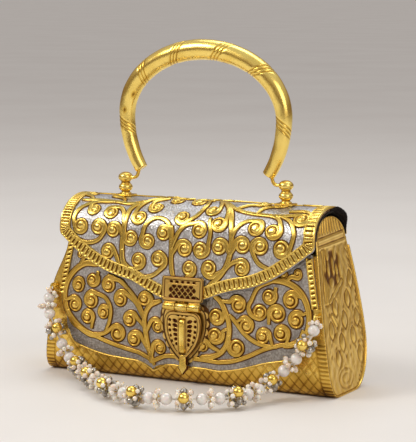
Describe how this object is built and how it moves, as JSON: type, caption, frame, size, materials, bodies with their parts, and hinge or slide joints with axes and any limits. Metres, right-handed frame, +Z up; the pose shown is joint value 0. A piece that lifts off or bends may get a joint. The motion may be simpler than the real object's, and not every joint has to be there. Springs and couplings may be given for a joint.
{
  "type": "hinged metal evening bag",
  "caption": "Rigid brass box clutch with an arched lid on a back hinge, a pierced hasp clasp, a folding arched handle and a beaded wrist strap.",
  "frame": {"origin": "middle of the body's footprint, on the flat that the bag stands on", "axes": "+X along the bag's width to the right of someone who looks at its front, +Y from front to back, +Z up"},
  "size_m": [0.205, 0.1383, 0.2147],
  "materials": {
    "gold": "polished yellow brass with brown in the hollows",
    "bronze": "tan brass, satin",
    "silver": "matt silver plate, finely stippled",
    "pin": "drawn wire",
    "velvet": "black velvet",
    "pearl": "pearl lustre",
    "thread": "twisted beading thread"
  },
  "bodies": {
    "body": {"body_wrap": "gold", "end_panel_left": "gold", "end_panel_right": "gold", "body_lining": "velvet", "front_plate": "silver", "front_strip_left": "gold", "front_strip_right": "gold", "front_rail_left": "gold", "front_rail_right": "gold", "hinge_body_leaf": "gold", "hinge_pin": "pin", "catch_plate": "bronze", "catch_staple": "gold", "strap_lug_left": "gold", "strap_lug_right": "gold", "strap_ring_left": "gold", "strap_ring_right": "gold", "strap_thread": "thread", "pearl_01": "pearl", "pearl_02": "pearl", "pearl_03": "pearl", "pearl_04": "pearl", "pearl_05": "pearl", "pearl_06": "pearl", "pearl_07": "pearl", "pearl_08": "pearl", "pearl_09": "pearl", "pearl_10": "pearl", "pearl_11": "pearl", "pearl_12": "pearl", "pearl_13": "pearl", "pearl_14": "pearl", "pearl_15": "pearl", "pearl_16": "pearl", "pearl_17": "pearl", "pearl_18": "pearl", "pearl_19": "pearl"},
    "flap": {"flap_shell": "silver", "flap_border": "gold", "flap_lining": "velvet", "hinge_flap_leaf": "gold", "clasp_plate": "bronze", "clasp_pin": "pin", "post_left": "gold", "post_right": "gold", "post_base_left": "gold", "post_base_right": "gold", "post_nut_left": "gold", "post_nut_right": "gold"},
    "clasp": {"clasp_leaf": "bronze"},
    "handle": {"handle_tube": "gold", "handle_wire_left": "gold", "handle_wire_right": "gold"}
  },
  "joints": [
    {"name": "flap_hinge", "type": "hinge", "parent": "body", "child": "flap", "pos_m": [0, 0.0236, 0.091], "axis": [-1, 0, 0], "range_deg": [0, 100]},
    {"name": "clasp_hinge", "type": "hinge", "parent": "flap", "child": "clasp", "pos_m": [0.002, -0.0351, 0.05], "axis": [-1, 0, 0], "range_deg": [0, 150]},
    {"name": "handle_pivot", "type": "hinge", "parent": "flap", "child": "handle", "pos_m": [0, -0.002, 0.1253], "axis": [1, 0, 0], "range_deg": [-90, 90]}
  ]
}
